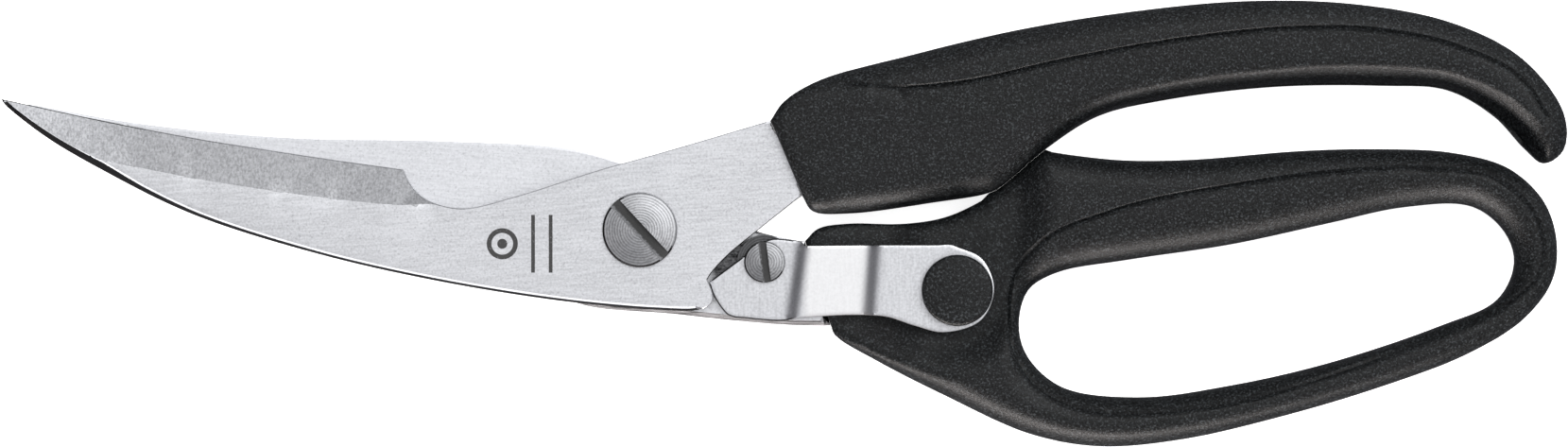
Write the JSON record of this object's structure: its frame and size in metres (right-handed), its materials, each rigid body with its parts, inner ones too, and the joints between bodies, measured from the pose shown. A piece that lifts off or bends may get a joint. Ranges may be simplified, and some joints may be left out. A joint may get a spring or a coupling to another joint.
{
  "type": "poultry shears",
  "caption": "Curved shears for cutting up poultry, with a hook handle, a closed finger loop, a bone notch and a swinging catch lever.",
  "frame": {"origin": "on the pivot axis, at the flat back of the pivot nut, in the plane that the shears rest on", "axes": "+X along the shears from the blades to the handles, +Y from the loop handle to the hook handle, +Z out of the front blade along the pivot"},
  "size_m": [0.2497, 0.0711, 0.0143],
  "materials": {
    "front_blade_steel": "fine satin grain, ground bevel",
    "rear_blade_steel": "fine satin grain, ground bevel",
    "handle_plastic": "matte, finely textured",
    "turned_steel": "turned, with concentric marks",
    "spring_steel": "bright drawn wire",
    "lever_steel": "satin, pressed plate",
    "button_plastic": "satin"
  },
  "bodies": {
    "lower_half": {"rear_blade": "rear_blade_steel", "lower_handle": "handle_plastic", "pivot_screw": "turned_steel", "pivot_nut": "turned_steel", "pivot_bush": "turned_steel", "opening_spring": "spring_steel", "lock_screw": "turned_steel", "lock_bush": "turned_steel", "lock_washer": "spring_steel"},
    "upper_half": {"front_blade": "front_blade_steel", "upper_handle": "handle_plastic"},
    "lock": {"lock_lever": "lever_steel", "lock_button": "button_plastic"}
  },
  "joints": [
    {"name": "blade_pivot", "type": "hinge", "parent": "lower_half", "child": "upper_half", "pos_m": [0, 0, 0.0065], "axis": [0, 0, 1], "range_deg": [0, 35], "deforming": ["opening_spring"]},
    {"name": "lock_lever_pivot", "type": "hinge", "parent": "lower_half", "child": "lock", "pos_m": [0.01986, -0.00513, 0.008], "axis": [0, 0, 1], "range_deg": [0, 13]}
  ]
}
